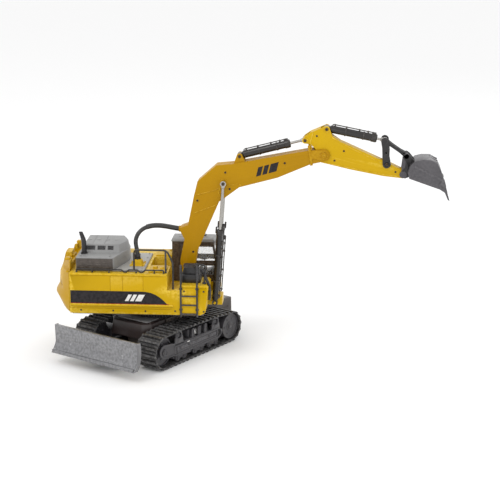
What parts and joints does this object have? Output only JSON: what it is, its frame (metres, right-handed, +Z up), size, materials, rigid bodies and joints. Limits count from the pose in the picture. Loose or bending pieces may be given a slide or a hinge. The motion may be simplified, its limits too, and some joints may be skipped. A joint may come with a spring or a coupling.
{
  "type": "rc excavator",
  "caption": "Tracked remote control excavator with dozer blade, slewing house, cab, two-piece boom and arm with cylinders, and a toothed bucket on a rocker linkage.",
  "frame": {"origin": "middle of the bounding box's bottom, on the ground under the tracks", "axes": "+X forward along the boom, +Y to the house's left, +Z up"},
  "size_m": [0.612, 0.3212, 0.3608],
  "materials": {
    "yellow": "satin moulded plastic",
    "boom_yellow": "satin moulded plastic",
    "dark": "satin moulded plastic",
    "black": "satin moulded plastic",
    "grey": "satin moulded plastic",
    "silver": "satin paint",
    "steel": "polished",
    "clear": "clear moulded",
    "board": "solder mask",
    "track_rubber": "matt moulded",
    "rubber_hose": "satin"
  },
  "bodies": {
    "undercarriage": {"battery_door": "dark", "battery_pack": "black", "bottom_rollers_left": "dark", "bottom_rollers_right": "dark", "chassis_cover": "grey", "chassis_frame": "dark", "drive_gearbox_left": "dark", "drive_gearbox_right": "dark", "rear_housing": "grey", "slew_ring": "black", "track_belt_left": "track_rubber", "track_belt_right": "track_rubber", "track_frame_left": "dark", "track_frame_right": "dark"},
    "arm": {"arm_shell_left": "yellow", "arm_shell_right": "yellow", "bucket_pin": "dark"},
    "arm_cylinder": {"arm_cylinder": "black"},
    "arm_rod": {"arm_rod": "steel"},
    "blade": {"blade": "silver", "blade_frame": "dark"},
    "boom": {"arm_pin": "dark", "boom_shell_left": "boom_yellow", "boom_shell_right": "boom_yellow"},
    "boom_cylinder_left": {"boom_cylinder_left": "black"},
    "boom_cylinder_right": {"boom_cylinder_right": "black"},
    "boom_rod_left": {"boom_rod_left": "steel"},
    "boom_rod_right": {"boom_rod_right": "steel"},
    "bucket": {"bucket": "grey"},
    "bucket_cylinder": {"bucket_cylinder": "black"},
    "bucket_rod": {"bucket_rod": "steel"},
    "carrier_roller_left_front": {"carrier_roller_left_front": "dark"},
    "carrier_roller_left_rear": {"carrier_roller_left_rear": "dark"},
    "carrier_roller_right_front": {"carrier_roller_right_front": "dark"},
    "carrier_roller_right_rear": {"carrier_roller_right_rear": "dark"},
    "house": {"body_shell": "yellow", "boom_foot_pin": "steel", "boom_hose": "rubber_hose", "boom_mount": "yellow", "cab_glass": "clear", "cab_roof": "grey", "cab_shell": "dark", "circuit_board": "board", "counterweight": "yellow", "driver_seat": "black", "engine_hood": "grey", "exhaust_pipe": "black", "hose_gland": "yellow", "house_deck": "dark", "ladder": "black", "side_rail": "black", "slew_gearbox": "dark", "upper_rail": "black"},
    "idler_left": {"idler_left": "dark"},
    "idler_right": {"idler_right": "dark"},
    "power_switch": {"power_switch": "black"},
    "push_link": {"push_link": "black"},
    "rocker": {"rocker": "black"},
    "sprocket_left": {"sprocket_left": "dark"},
    "sprocket_right": {"sprocket_right": "dark"}
  },
  "joints": [
    {"name": "house_slew", "type": "hinge", "parent": "undercarriage", "child": "house", "pos_m": [-0.146, 0.01999, 0.0743], "axis": [0, 0, 1], "range_deg": [-340, 340]},
    {"name": "boom_lift", "type": "hinge", "parent": "house", "child": "boom", "pos_m": [-0.098, 0.01999, 0.126], "axis": [0, -1, 0], "range_deg": [-33, 10], "deforming": ["boom_hose"]},
    {"name": "arm_swing", "type": "hinge", "parent": "boom", "child": "arm", "pos_m": [0.1135, 0.01999, 0.316], "axis": [0, 1, 0], "range_deg": [-3, 50]},
    {"name": "bucket_curl", "type": "hinge", "parent": "arm", "child": "bucket", "pos_m": [0.2346, 0.01999, 0.2875], "axis": [0, 1, 0], "range_deg": [-5, 70]},
    {"name": "blade_lift", "type": "hinge", "parent": "undercarriage", "child": "blade", "pos_m": [-0.17235, -0.02251, 0.026], "axis": [-0.8499, 0.527, 0], "range_deg": [-8.5, 7]},
    {"name": "drive_left", "type": "hinge", "parent": "undercarriage", "child": "sprocket_left", "pos_m": [-0.0474, 0.05946, 0.0253], "axis": [0.8499, -0.527, 0], "continuous": true},
    {"name": "drive_right", "type": "hinge", "parent": "undercarriage", "child": "sprocket_right", "pos_m": [-0.15449, 0.12585, 0.0253], "axis": [0.8499, -0.527, 0], "continuous": true},
    {"name": "idler_turn_left", "type": "hinge", "parent": "undercarriage", "child": "idler_left", "pos_m": [-0.13619, -0.08375, 0.0273], "axis": [0.8499, -0.527, 0], "continuous": true},
    {"name": "carrier_turn_left_rear", "type": "hinge", "parent": "undercarriage", "child": "carrier_roller_left_rear", "pos_m": [-0.06874, 0.02504, 0.0435], "axis": [0.8499, -0.527, 0], "continuous": true},
    {"name": "carrier_turn_left_front", "type": "hinge", "parent": "undercarriage", "child": "carrier_roller_left_front", "pos_m": [-0.11775, -0.054, 0.0459], "axis": [0.8499, -0.527, 0], "continuous": true},
    {"name": "idler_turn_right", "type": "hinge", "parent": "undercarriage", "child": "idler_right", "pos_m": [-0.24328, -0.01735, 0.0273], "axis": [0.8499, -0.527, 0], "continuous": true},
    {"name": "carrier_turn_right_rear", "type": "hinge", "parent": "undercarriage", "child": "carrier_roller_right_rear", "pos_m": [-0.17583, 0.09143, 0.0435], "axis": [0.8499, -0.527, 0], "continuous": true},
    {"name": "carrier_turn_right_front", "type": "hinge", "parent": "undercarriage", "child": "carrier_roller_right_front", "pos_m": [-0.22484, 0.01239, 0.0459], "axis": [0.8499, -0.527, 0], "continuous": true},
    {"name": "boom_cylinder_tilt_left", "type": "hinge", "parent": "house", "child": "boom_cylinder_left", "pos_m": [-0.054, 0.03779, 0.08], "axis": [0, -1, 0], "range_deg": [-27, 8.3]},
    {"name": "boom_rod_tilt_left", "type": "hinge", "parent": "boom", "child": "boom_rod_left", "pos_m": [-0.0401, 0.03779, 0.2707], "axis": [0, -1, 0], "range_deg": [-2, 6.4]},
    {"name": "boom_cylinder_tilt_right", "type": "hinge", "parent": "house", "child": "boom_cylinder_right", "pos_m": [-0.054, 0.00219, 0.08], "axis": [0, -1, 0], "range_deg": [-27, 8.3]},
    {"name": "boom_rod_tilt_right", "type": "hinge", "parent": "boom", "child": "boom_rod_right", "pos_m": [-0.0401, 0.00219, 0.2707], "axis": [0, -1, 0], "range_deg": [-2, 6.4]},
    {"name": "arm_cylinder_tilt", "type": "hinge", "parent": "boom", "child": "arm_cylinder", "pos_m": [-0.0156, 0.01999, 0.312], "axis": [0, 1, 0], "range_deg": [-4.1, 0.4]},
    {"name": "arm_rod_tilt", "type": "hinge", "parent": "arm", "child": "arm_rod", "pos_m": [0.0847, 0.01999, 0.338], "axis": [0, 1, 0], "range_deg": [-54.1, 3.4]},
    {"name": "rocker_turn", "type": "hinge", "parent": "arm", "child": "rocker", "pos_m": [0.2095, 0.01999, 0.3034], "axis": [0, 1, 0], "range_deg": [-4.5, 61]},
    {"name": "push_link_turn", "type": "hinge", "parent": "rocker", "child": "push_link", "pos_m": [0.2064, 0.01999, 0.3386], "axis": [0, 1, 0], "range_deg": [-44.2, 3.3]},
    {"name": "bucket_cylinder_tilt", "type": "hinge", "parent": "arm", "child": "bucket_cylinder", "pos_m": [0.1175, 0.01999, 0.356], "axis": [0, 1, 0], "range_deg": [-0.3, 2.6]},
    {"name": "bucket_rod_tilt", "type": "hinge", "parent": "rocker", "child": "bucket_rod", "pos_m": [0.2064, 0.01999, 0.3386], "axis": [0, 1, 0], "range_deg": [-58, 4.3]},
    {"name": "power_switch_slide", "type": "slide", "parent": "undercarriage", "child": "power_switch", "axis": [-0.527, -0.8499, 0], "range_m": [0, 0.006]}
  ],
  "couplings": [
    {"joint": "idler_turn_left", "follows": "drive_left", "ratio": 0.9123},
    {"joint": "carrier_turn_left_rear", "follows": "drive_left", "ratio": 3.4667},
    {"joint": "carrier_turn_left_front", "follows": "drive_left", "ratio": 3.4667},
    {"joint": "idler_turn_right", "follows": "drive_right", "ratio": 0.9123},
    {"joint": "carrier_turn_right_rear", "follows": "drive_right", "ratio": 3.4667},
    {"joint": "carrier_turn_right_front", "follows": "drive_right", "ratio": 3.4667},
    {"joint": "boom_cylinder_tilt_left", "follows": "boom_lift", "ratio": 0.815},
    {"joint": "boom_rod_tilt_left", "follows": "boom_lift", "ratio": -0.19},
    {"joint": "boom_cylinder_tilt_right", "follows": "boom_lift", "ratio": 0.815},
    {"joint": "boom_rod_tilt_right", "follows": "boom_lift", "ratio": -0.19},
    {"joint": "arm_cylinder_tilt", "follows": "arm_swing", "ratio": -0.08},
    {"joint": "arm_rod_tilt", "follows": "arm_swing", "ratio": -1.08},
    {"joint": "rocker_turn", "follows": "bucket_curl", "ratio": 0.87},
    {"joint": "push_link_turn", "follows": "bucket_curl", "ratio": -0.63},
    {"joint": "bucket_cylinder_tilt", "follows": "bucket_curl", "ratio": 0.0348},
    {"joint": "bucket_rod_tilt", "follows": "bucket_curl", "ratio": -0.8265}
  ]
}
